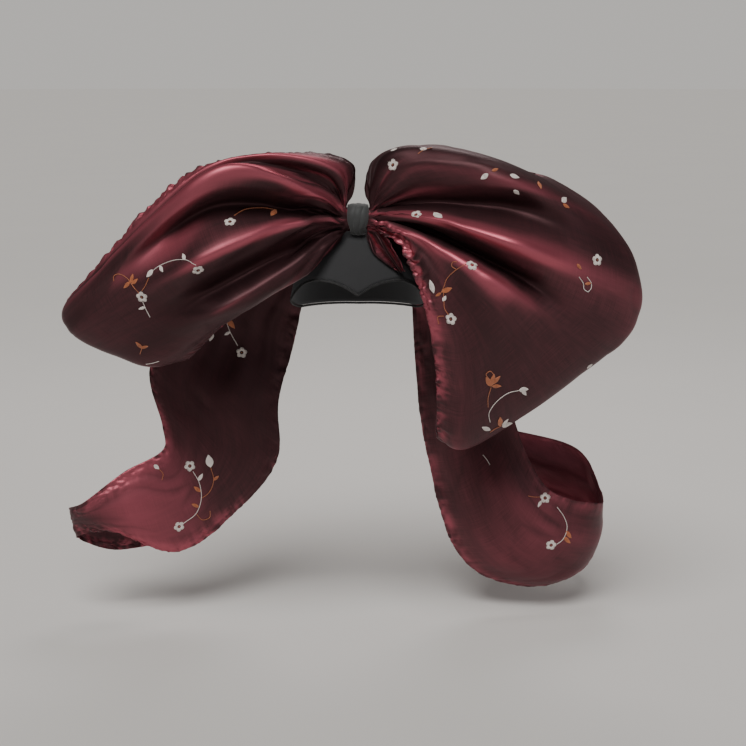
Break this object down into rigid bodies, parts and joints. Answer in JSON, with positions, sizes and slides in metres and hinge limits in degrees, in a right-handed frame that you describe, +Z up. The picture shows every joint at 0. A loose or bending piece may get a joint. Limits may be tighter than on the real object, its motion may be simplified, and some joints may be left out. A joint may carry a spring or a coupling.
{
  "type": "folk bow headdress",
  "caption": "Small black bonnet with a pointed front edge, carrying a very wide gathered bow of embroidered taffeta ribbon with trailing tails.",
  "frame": {"origin": "inside top of the bonnet, where the crown of the wearer's head meets it", "axes": "+X to the right of a viewer who faces the wearer, -Y towards that viewer, out of the wearer's face, +Z up"},
  "size_m": [0.7162, 0.3068, 0.5893],
  "materials": {
    "burgundy_taffeta": "shot silk sheen, dark burgundy to pinkish red",
    "black_felt": "matte felt",
    "black_cord": "matte twisted cord",
    "black_ribbon": "matte ribbed ribbon",
    "cream_thread": "satin embroidery thread",
    "copper_thread": "satin embroidery thread"
  },
  "bodies": {
    "root": {"cap": "black_felt", "edge_piping": "black_cord", "knot_band": "black_ribbon", "loop_left": "burgundy_taffeta", "loop_right": "burgundy_taffeta", "tail_left": "burgundy_taffeta", "tail_right": "burgundy_taffeta"}
  },
  "joints": []
}
